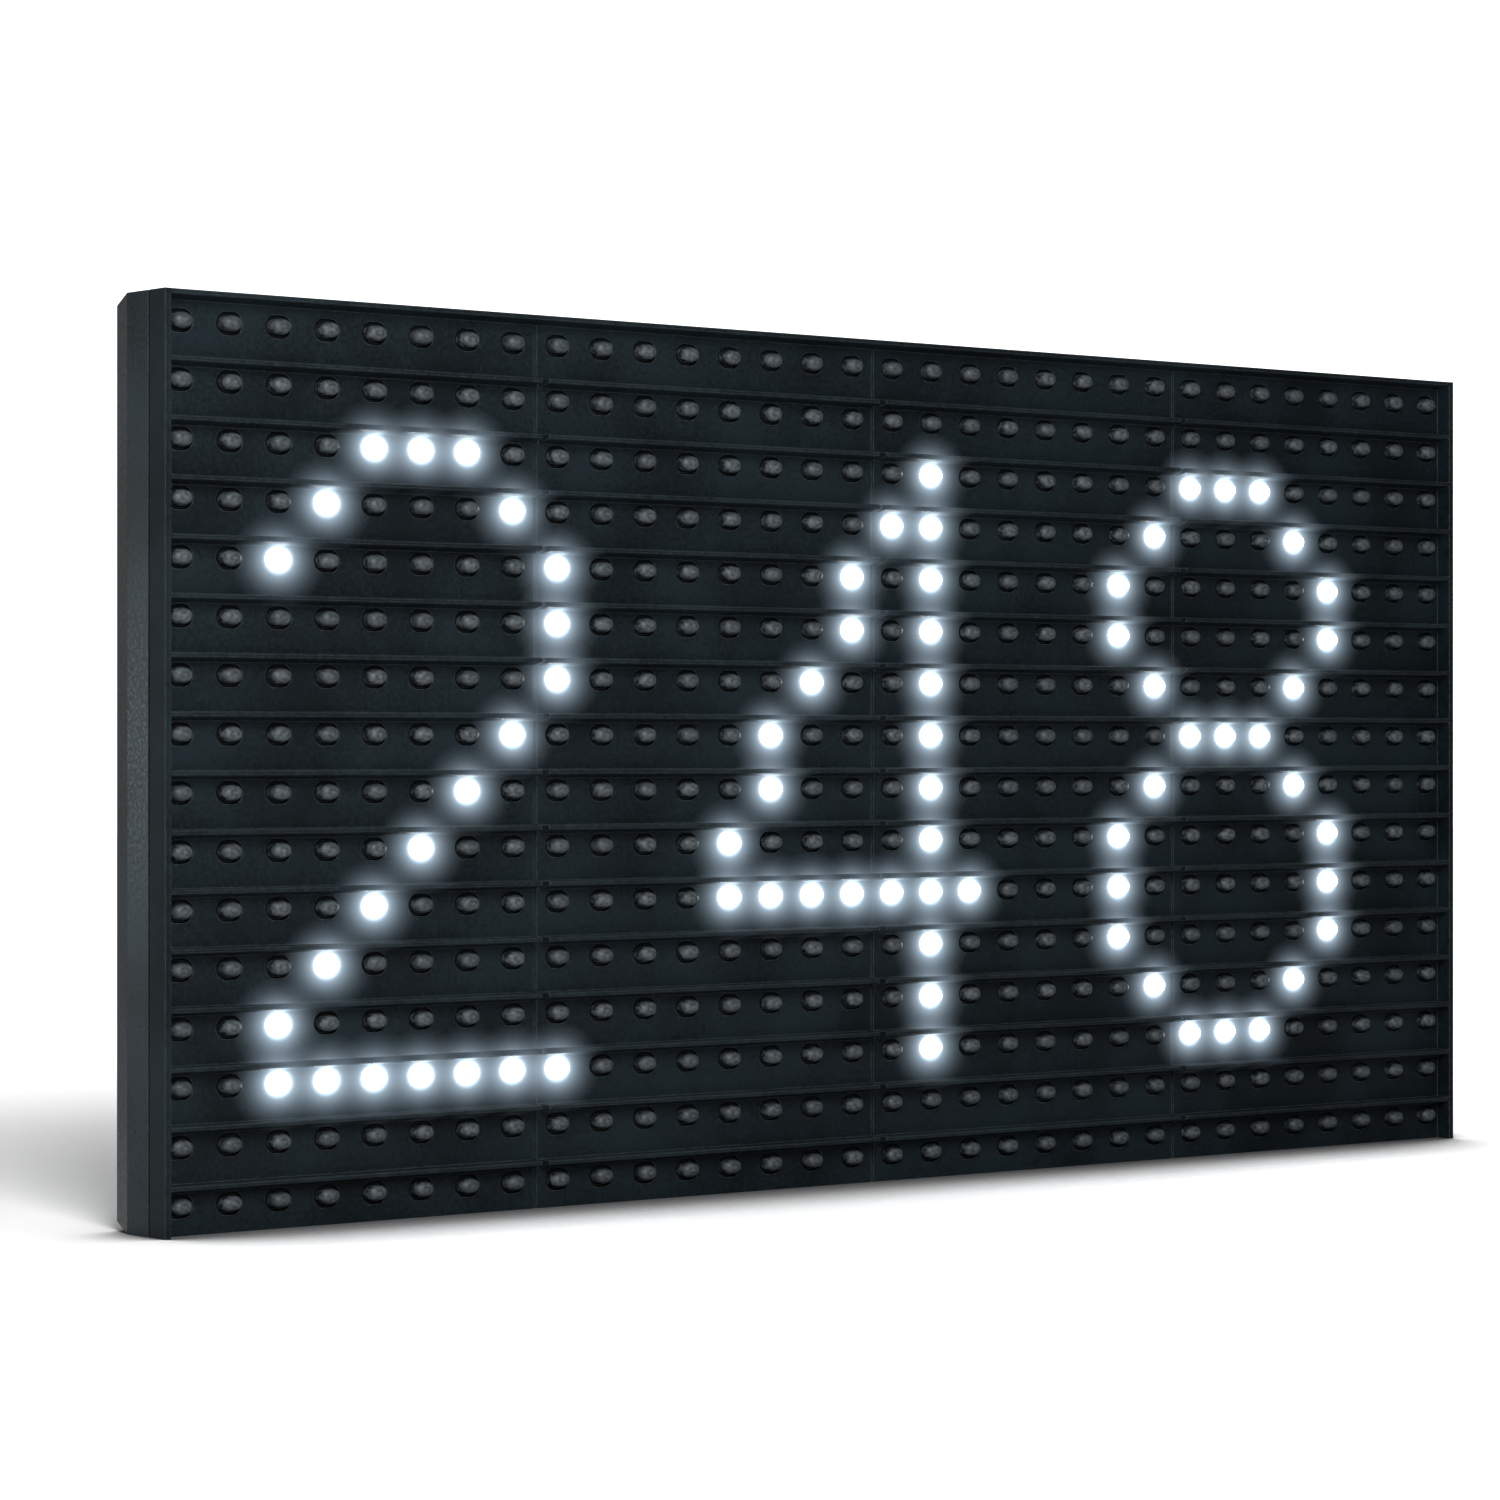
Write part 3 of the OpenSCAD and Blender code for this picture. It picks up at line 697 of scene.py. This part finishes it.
# %% [markdown]
# ## LED lenses
# An oval LED is a clear epoxy bullet, wider than it is tall, so its light spreads sideways. A real
# clear lens over a tiny cup would cost a great deal of render time five hundred times over. Instead
# each lens is a closed dome whose points remember where they lie across the oval, and the finish
# paints the cup, its rim and the chip from that. The lit ones use the same dome with a light of
# their own, so white that the shape drowns in it, as it does to the eye.

# %% Lens surface
AROUND = 16
DOME_RINGS = 3
LENS_TURN = 2 * math.pi * (np.arange(AROUND) + 0.5) / AROUND
TONE_SEED = 7


def lens_sizes():
    """Half width, half height, foot depth and tip depth of one lens, from the topmost row's node. Its width
    and height are measured in front of the rim round its foot."""
    points = node_points(row_nodes[0])
    first = points[points[:, 0] < mask_low.x + pitch]
    before_rim = mask_low.y + 0.25 * (board_low.y - mask_low.y) + 2 * MM
    body = first[first[:, 1] < before_rim]
    half_w = (body[:, 0].max() - body[:, 0].min()) / 2
    half_h = (body[:, 2].max() - body[:, 2].min()) / 2
    return half_w, half_h, board_low.y, body[:, 1].min()


lens_half_w, lens_half_h, lens_foot, lens_tip = lens_sizes()
print("lens, mm:", [round(v / MM, 2) for v in (lens_half_w, lens_half_h, lens_foot, lens_tip)])


def lens_surface(squareness=2.4):
    """Dome over an oval: x and z follow an oval whose exponent is the squareness, shrunk by the cosine of
    the rise, and the depth goes from shoulder to tip with its sine. The wall is the part with no rise."""
    power = 2 / squareness
    across = np.sign(np.cos(LENS_TURN)) * np.abs(np.cos(LENS_TURN)) ** power
    upright = np.sign(np.sin(LENS_TURN)) * np.abs(np.sin(LENS_TURN)) ** power
    rise = np.concatenate([[0.0], np.linspace(0.0, math.pi / 2, DOME_RINGS + 2)[:-1]])
    shrink = np.cos(rise)
    depths = lens_tip + lens_half_h - lens_half_h * np.sin(rise)
    depths[0] = lens_foot
    x = lens_half_w * shrink[:, None] * across[None, :]
    z = lens_half_h * shrink[:, None] * upright[None, :]
    points = np.vstack([ring_points(x, depths, z), [[0.0, lens_tip, 0.0]]])
    quads = np.vstack([grid_quads(len(rise), AROUND), cap(0, AROUND, reverse=True)])
    near = np.arange(AROUND)
    last = (len(rise) - 1) * AROUND
    fan = np.stack([last + near, last + (near + 1) % AROUND, np.full(AROUND, len(points) - 1)], axis=1)
    return points, quads, fan


lens_points, lens_quads, lens_fan = lens_surface()


def lens_set(name, cells, material, stands_for):
    """One lens in each given cell. Every point keeps its place across the oval, in half widths and half
    heights, and the tone of its own LED."""
    places = cell_centres(cells)
    points, quads = stamp(lens_points, lens_quads, places)
    fan = stamp(lens_points, lens_fan, places)[1]
    piece = make_piece(name, points, quads.tolist() + fan.tolist(), material, True, stands_for)
    across = lens_points * [1.0, 0.0, 1.0] / [lens_half_w, 1.0, lens_half_h]
    store(piece, "lens_place", np.tile(across, (len(cells), 1)))
    tone = np.random.default_rng(int(cells[:, 1].sum()) + TONE_SEED).uniform(0.0, 1.0, len(cells))
    store(piece, "lens_tone", np.repeat(tone, 3 * len(lens_points)))


# %% [markdown]
# ### Lens finishes
# Seen from the front, the dark lens has a slightly paler rim where the cup ends, a dark cup inside
# it, and one pale spot of phosphor in the middle. The distance from the axis, measured in half
# widths, decides which of them a point shows. Cloudy spots in the epoxy break up the rings, and
# each LED is a little darker or paler than the next.

# %% Dark and glowing lenses
CHIP_SPOT = (0.052, 0.060, 0.060)
LENS_RINGS = {
    "cup": (0.15, 0.30, (0.027, 0.033, 0.036)),
    "cup rim": (0.42, 0.52, (0.040, 0.048, 0.052)),
    "wall": (0.68, 0.85, (0.026, 0.032, 0.036)),
    # The foot ring is painted shade: the lens turns nearly black where it sinks into the seal and the plate.
    "foot": (0.92, 1.00, (0.007, 0.009, 0.011)),
}


def dark_lens():
    """Colour from the distance to the axis: the chip's spot, then each ring, which starts at its first
    distance and is full at its second. Clouds and the LED's tone come over that."""
    material, tree, shader = finish("dark_lens", (0.04, 0.05, 0.055), 0.45, specular=0.15)
    across = add(tree, "Attribute", attribute_name="lens_place").outputs["Vector"]
    tone = add(tree, "Attribute", attribute_name="lens_tone").outputs["Fac"]
    reach = add(tree, "VectorMath", [across], operation="LENGTH").outputs["Value"]
    colour = CHIP_SPOT
    for starts, full, ring_colour in LENS_RINGS.values():
        colour = mix_colour(tree, ramp(tree, reach, starts, full), colour, ring_colour)
    place = add(tree, "TexCoord").outputs["Object"]
    clouds = add(tree, "TexNoise", {"Vector": place, "Scale": 1100.0, "Detail": 2.0}).outputs[0]
    clouded = mix_colour(tree, ramp(tree, clouds, 0.44, 0.60, 0.0, 0.5), colour, (0.080, 0.093, 0.100))
    varied = mix_colour(tree, ramp(tree, tone, 0.0, 1.0, 0.0, 0.4), clouded, (0.020, 0.025, 0.028))
    tree.links.new(varied, shader["Base Color"])
    return material


def glowing_lens():
    """White, with light of its own."""
    material, _, shader = finish("glowing_lens", (0.85, 0.88, 0.90), 0.3)
    shader["Emission Color"].default_value = (0.80, 0.91, 1.0, 1.0)
    shader["Emission Strength"].default_value = 8.0
    return material


dark_finish = dark_lens()
bright_finish = glowing_lens()
for row, node_name in enumerate(row_nodes):
    lens_set(f"lenses_{row + 1:02d}", cells_of(node_name), dark_finish, [node_name])
lens_set("lenses_lit", lit_cells, bright_finish, ["lit_leds"])

# %% [markdown]
# ## Seal round the LEDs
# Outdoor modules are sealed against rain: black silicone fills the space between the board and the
# plate and creeps up the gap round each LED, so each lens sits in a dark ring and no green board
# shows beside it. Where the LED glows, the ring round it is as bright as the lens, since light
# scatters in the gap. One small oval band does for every LED.

# %% Seal rings
hole_gap = 0.6 * MM


def seal_surface(overlap=0.2 * MM, depth=0.4 * MM, sag=0.2 * MM, thickness=0.9 * MM):
    """Oval band from inside the lens to the edge of the hole, with half-round ends of radius r: x = r cos t
    plus or minus half the straight part, z = r sin t. Its front hollows by the sag halfway across."""
    inner = lens_half_h - overlap
    outer = lens_half_h + hole_gap
    middle = (inner + outer) / 2
    radii = np.array([[inner], [middle], [outer], [middle]])
    depths = plate_front + depth + np.array([0.0, sag, 0.0, thickness])
    straight_half = lens_half_w - lens_half_h
    x = radii * np.cos(LENS_TURN) + np.sign(np.cos(LENS_TURN)) * straight_half
    z = radii * np.sin(LENS_TURN)
    return ring_points(x, depths, z), grid_quads(len(radii), AROUND, looped=True)[:, ::-1]


def seal_set(name, cells, material):
    """One ring in each given cell."""
    points, quads = stamp(*seal_surface(), cell_centres(cells))
    make_piece(name, points, quads, material)


dark_cells = np.vstack([cells_of(node_name) for node_name in row_nodes])
silicone = finish("black_silicone", (0.0035, 0.0045, 0.0055), 0.4, specular=0.1)[0]
seal_set("seals", dark_cells, silicone)
seal_set("seals_lit", lit_cells, bright_finish)
print("seal rings:", len(dark_cells) + len(lit_cells))

# %% [markdown]
# ## Solder joints
# Behind the board every lead ends in a cone of solder that has crept up it. The cone's outline is a
# hollow curve, steep at the lead and flat at the pad, so each joint is that curve turned about the
# lead, and the lead's cut end stands out of it.

# %% Solder
def turned(radii, depths, sides):
    """A closed surface of revolution about Y: each ring has one radius and depth, and both ends are flat."""
    turn = 2 * math.pi * np.arange(sides) / sides
    points = ring_points(np.outer(radii, np.cos(turn)), depths, np.outer(radii, np.sin(turn)))
    return points, tube_quads(len(radii), sides)[:, ::-1]


def joint_surface(pad=0.92 * MM, lead=0.25 * MM, height=0.5 * MM, tail=0.6 * MM, cut=0.12 * MM):
    """Radius falls from the pad to the lead as the square of the height left. Then the lead stands out as
    far as its tail, and rounds off to its cut end."""
    climb = np.linspace(0.0, 1.0, 4)
    radii = np.concatenate([lead + (pad - lead) * (1 - climb) ** 2, [lead, cut]])
    depths = board_high.y + np.concatenate([height * climb, [tail, tail + 0.05 * MM]])
    return turned(radii, depths, 8)


def lead_places(half_spacing=1.27 * MM):
    """Both leads of every LED: the cell's centre, half a lead spacing to either side."""
    column, row = np.meshgrid(np.arange(columns), np.arange(rows), indexing="ij")
    cells = np.stack([column.ravel(), row.ravel()], axis=1)
    places = np.repeat(cell_centres(cells), 2, axis=0)
    places[:, 0] += np.tile([-half_spacing, half_spacing], len(cells))
    return places


leads = lead_places()
points, quads = stamp(*joint_surface(), leads)
make_piece("solder_joints", points, quads, solder)

# %% [markdown]
# ## Copper tracks
# Under the lacquer, one track runs down each column of LEDs and joins their leads, and bundles of
# bus tracks run across the board between the rows. Each track is a flat bar a few hundredths of a
# millimetre thick, so its edges catch light as real copper does.

# %% Tracks
def bars(low, high, sunk=0.01 * MM, thickness=0.035 * MM):
    """Flat bars from arrays of lower and upper [x, z] corners: eight points and six faces each."""
    corner = np.array([[0, 0], [1, 0], [1, 1], [0, 1]])
    flat = low[:, None, :] + (high - low)[:, None, :] * corner[None, :, :]
    flat = np.tile(flat, (1, 2, 1))
    depths = board_high.y + np.repeat([-sunk, thickness], 4)
    y = np.tile(depths, (len(low), 1))
    points = np.stack([flat[..., 0], y, flat[..., 1]], axis=-1).reshape(-1, 3)
    box = np.array([[0, 1, 2, 3], [7, 6, 5, 4], [0, 4, 5, 1], [1, 5, 6, 2], [2, 6, 7, 3], [3, 7, 4, 0]])
    return points, (box[None] + 8 * np.arange(len(low))[:, None, None]).reshape(-1, 4)


def track_layout(half=0.16 * MM, column_inset=3 * MM, bus_inset=9 * MM, bundle=1.8 * MM):
    """Lower and upper corners of all tracks: one down each column, and bundles of five across, each
    centred between two rows."""
    columns_x = np.unique(np.round(leads[:, 0], 6))[1::2]
    low_v = np.stack([columns_x - half, np.full(len(columns_x), board_low.z + column_inset)], axis=1)
    high_v = np.stack([columns_x + half, np.full(len(columns_x), board_high.z - column_inset)], axis=1)
    bundles_z = np.array([2, 7, 14]) * pitch + mask_low.z
    bus_z = (bundles_z[:, None] + np.linspace(-bundle, bundle, 5)[None, :]).ravel()
    reach = board_high.x - bus_inset
    low_h = np.stack([np.full(len(bus_z), -reach), bus_z - half], axis=1)
    high_h = np.stack([np.full(len(bus_z), reach), bus_z + half], axis=1)
    return np.vstack([low_v, low_h]), np.vstack([high_v, high_h])


points, quads = bars(*track_layout())
make_piece("copper_tracks", points, quads, track_lacquer, smooth=False)

# %% [markdown]
# ## Header pins
# Square pins are cut and coined so that their ends taper, which is what guides the plug on. Each pin
# is a square tube of rings: full width along its length and less than half of it at either end.

# %% Pins
data_pin_half = 0.32 * MM


def pin_surface(half, back, front, taper=0.6 * MM, narrow=0.4):
    """Square rings at the two ends and one taper in from each, narrowed to two fifths at the very ends."""
    corner = np.array([[-1, -1], [-1, 1], [1, 1], [1, -1]])
    reach = half * np.array([narrow, 1.0, 1.0, narrow])
    depths = np.array([back, back + taper, front - taper, front])
    points = ring_points(np.outer(reach, corner[:, 0]), depths, np.outer(reach, corner[:, 1]))
    return points, tube_quads(4, 4)


def pin_set(name, node, pins_x, pins_z, material):
    """Pins spread evenly over the node's box, from its back to its front."""
    low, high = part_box(node)
    half = (high.z - low.z) / 2 if pins_z == 1 else data_pin_half
    xs = np.linspace(low.x + half, high.x - half, pins_x)
    zs = np.linspace(low.z + half, high.z - half, pins_z)
    x, z = np.meshgrid(xs, zs)
    places = np.stack([x.ravel(), np.zeros(x.size), z.ravel()], axis=1)
    points, quads = stamp(*pin_surface(half, low.y, high.y), places)
    make_piece(name, points, quads, material, smooth=False, stands_for=[node])


pin_set("data_in_tapered_pins", "data_in_pins", 2, 8, gold)
pin_set("data_out_tapered_pins", "data_out_pins", 2, 8, gold)
pin_set("power_tapered_pins", "power_pins", 4, 1, tin)

# %% [markdown]
# ## Threads in the mounting inserts
# The solids have plain bores. A thread is a ridge that climbs by one pitch each turn: on a grid of
# turn and depth, the radius is a triangle wave of the depth, counted in pitches, less the turn. A
# plain tube, buried just under the bore's wall, closes the sleeve round its back.

# %% Insert threads
insert_outer = 2.25 * MM
insert_bore = 1.25 * MM
insert_low, insert_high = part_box("mount_inserts")


def thread_sleeve(bore, length, thread_pitch=0.5 * MM, ridge=0.2 * MM, skin=0.02 * MM):
    """Radius = bore less ridge * a triangle wave of (depth / pitch - turn), which fades out at both ends. The
    first and the last ring lie a skin outside the bore, and the cells between them close the sleeve."""
    sides, steps = 20, 48
    turn = np.arange(sides) / sides
    depth = np.linspace(0.0, length, steps)
    wave = 1 - np.abs(((depth[:, None] / thread_pitch - turn[None, :]) % 1.0) * 2 - 1)
    fade = np.minimum(1.0, np.minimum(depth, length - depth) / thread_pitch)[:, None]
    wall = np.full((1, sides), bore + skin)
    radius = np.vstack([wall, bore - ridge * wave * fade, wall])
    depths = np.concatenate([[0.0], depth, [length]])
    angle = 2 * math.pi * turn
    points = ring_points(radius * np.cos(angle), depths, radius * np.sin(angle))
    return points, grid_quads(len(depths), sides, looped=True)


def insert_places():
    """Fronts of the inserts, from their node's box: at its two ends and its middle, low and high."""
    xs = [insert_low.x + insert_outer, (insert_low.x + insert_high.x) / 2, insert_high.x - insert_outer]
    zs = [insert_low.z + insert_outer, insert_high.z - insert_outer]
    x, z = np.meshgrid(xs, zs)
    return np.stack([x.ravel(), np.full(x.size, insert_low.y), z.ravel()], axis=1)


sleeve = thread_sleeve(insert_bore, insert_high.y - insert_low.y)
points, quads = stamp(*sleeve, insert_places())
make_piece("insert_threads", points, quads, brass)

# %% [markdown]
# ## Studio
# The module stands on a pale floor in front of white. The floor is a diffuse white that keeps the
# shadow, with a painted contact shadow where something stands close. Only for the camera it also
# glows, less near the module than far from it, so that its lit part reaches full white and meets the
# white backdrop without a line. One soft lamp in front on the left lights the face and throws the
# shadow back and to the right. A small bluish one behind on the left shows only as a sheen halfway
# up the side wall. The rest is even light from all round, stronger from low down behind, so that the
# board can be seen from the back.

# %% Floor and world
WHITE = (1.0, 1.0, 1.0, 1.0)
shadow_centre = (-0.12, 0.03, 0.0)


def floor_material(contact=0.055, near_glow=0.16):
    """Diffuse white with a painted contact shadow: darker where something stands within a few
    centimetres, plus a glow that only camera rays see and that grows with the distance from a point
    behind the module's left half."""
    material = bpy.data.materials.new("studio_floor")
    material.use_nodes = True
    tree = material.node_tree
    tree.nodes.clear()
    seen = add(tree, "LightPath").outputs["Is Camera Ray"]
    # Painted contact shadow: the ambient occlusion darkens the floor's colour and its glow.
    hidden = add(tree, "AmbientOcclusion", {"Distance": contact}, samples=16).outputs["AO"]
    openness = ramp(tree, hidden, 0.47, 0.9)
    shade = mix_colour(tree, openness, (0.12, 0.12, 0.124), (0.95, 0.95, 0.95))
    diffuse = add(tree, "BsdfDiffuse", {"Color": shade}).outputs[0]
    place = add(tree, "TexCoord").outputs["Object"]
    away = add(tree, "VectorMath", [place, shadow_centre], operation="DISTANCE").outputs["Value"]
    level = math_node(tree, "MULTIPLY", ramp(tree, away, 0.05, 0.5, near_glow, 1.0), openness)
    glow_level = math_node(tree, "MULTIPLY", seen, level)
    glow = add(tree, "Emission", {"Color": WHITE, "Strength": glow_level}).outputs[0]
    both = add(tree, "AddShader", [diffuse, glow]).outputs[0]
    out = tree.nodes.new("ShaderNodeOutputMaterial")
    tree.links.new(both, out.inputs["Surface"])
    return material


def build_floor(size=6.0):
    """A square of floor with the module in its middle."""
    half = size / 2
    mesh = bpy.data.meshes.new("studio_floor")
    corners = [(-half, -half, 0), (half, -half, 0), (half, half, 0), (-half, half, 0)]
    mesh.from_pydata(corners, [], [(0, 1, 2, 3)])
    mesh.materials.append(floor_material())
    floor = bpy.data.objects.new("studio_floor", mesh)
    bpy.context.scene.collection.objects.link(floor)
    print("floor:", size, "m square")


def build_world(ambient=0.22, behind=1.5):
    """White to the camera, and a dim even light to everything else, stronger from low down behind the
    module so that its back can be seen. Mirror-like rays see a backdrop that is lit behind the module."""
    world = bpy.data.worlds.new("studio")
    world.use_nodes = True
    tree = world.node_tree
    tree.nodes.clear()
    path = add(tree, "LightPath").outputs
    direction = add(tree, "SeparateXYZ", [add(tree, "TexCoord").outputs["Generated"]]).outputs
    backdrop = ramp(tree, direction["Y"], -0.1, 0.4, 0.08, 0.45)
    mirrored = math_node(tree, "MAXIMUM", path["Is Glossy Ray"], path["Is Transmission Ray"])
    low_down = ramp(tree, direction["Z"], 0.45, 0.15)
    low_back = math_node(tree, "MULTIPLY", ramp(tree, direction["Y"], 0.1, 0.6), low_down)
    even = math_node(tree, "ADD", ambient, math_node(tree, "MULTIPLY", low_back, behind))
    soft = add(tree, "Mix", {"Factor": mirrored, "A": even, "B": backdrop}).outputs["Result"]
    strength = math_node(tree, "MAXIMUM", soft, path["Is Camera Ray"])
    background = add(tree, "Background", {"Color": WHITE, "Strength": strength}).outputs[0]
    out = tree.nodes.new("ShaderNodeOutputWorld")
    tree.links.new(background, out.inputs["Surface"])
    bpy.context.scene.world = world


build_floor()
build_world()


# %% Lamps
def aim(item, target):
    """Turns an object so that its own -Z looks at the target."""
    item.rotation_euler = (Vector(target) - item.location).to_track_quat("-Z", "Y").to_euler()


def softbox(name, place, target, size, power, colour=(1.0, 1.0, 1.0)):
    """A rectangular lamp with its middle at a place, turned to a target."""
    light = bpy.data.lights.new(name, "AREA")
    light.shape = "RECTANGLE"
    light.size, light.size_y = size
    light.energy = power
    light.color = colour
    lamp = bpy.data.objects.new(name, light)
    lamp.location = place
    bpy.context.scene.collection.objects.link(lamp)
    aim(lamp, target)
    print(name, power, "W")


softbox("key_light", place=(-0.36, -0.52, 0.35), target=(0.02, 0.0, 0.07), size=(0.2, 0.4), power=6.0)
softbox(
    "side_reflection",
    place=(-0.67, 0.62, 0.085),
    target=(-0.16, 0.0, 0.085),
    size=(0.2, 0.05),
    power=0.95,
    colour=(0.84, 0.96, 1.0),
)

# %% [markdown]
# ## Camera
# The lens is long, so the perspective is gentle. The camera looks level, turned so that the left
# side wall shows, with its eye at about half the module's height. A shift of two thousandths of the
# frame sets the horizon. Its place is measured from the near left corner: so far to the side and so
# far ahead, in the camera's own directions.

# %% Camera
def build_camera(turn=39.47, sideways=0.0982, ahead=0.7807, eye=0.0828, lens=111.6, horizon=0.002):
    """Place = near corner + sideways * right - ahead * forward, with both turned about the vertical."""
    angle = math.radians(-turn)
    right = np.array([math.cos(angle), math.sin(angle)])
    forward = np.array([-math.sin(angle), math.cos(angle)])
    x, y = np.array([solid_low.x, solid_low.y]) + sideways * right - ahead * forward
    data = bpy.data.cameras.new("camera")
    data.lens = lens
    data.sensor_width = 36.0
    data.shift_y = -horizon
    camera = bpy.data.objects.new("camera", data)
    camera.location = (x, y, eye)
    camera.rotation_euler = (math.pi / 2, 0.0, angle)
    bpy.context.scene.collection.objects.link(camera)
    bpy.context.scene.camera = camera
    print("camera at:", [round(v, 3) for v in camera.location])


build_camera()
bpy.context.scene.view_settings.view_transform = "Standard"
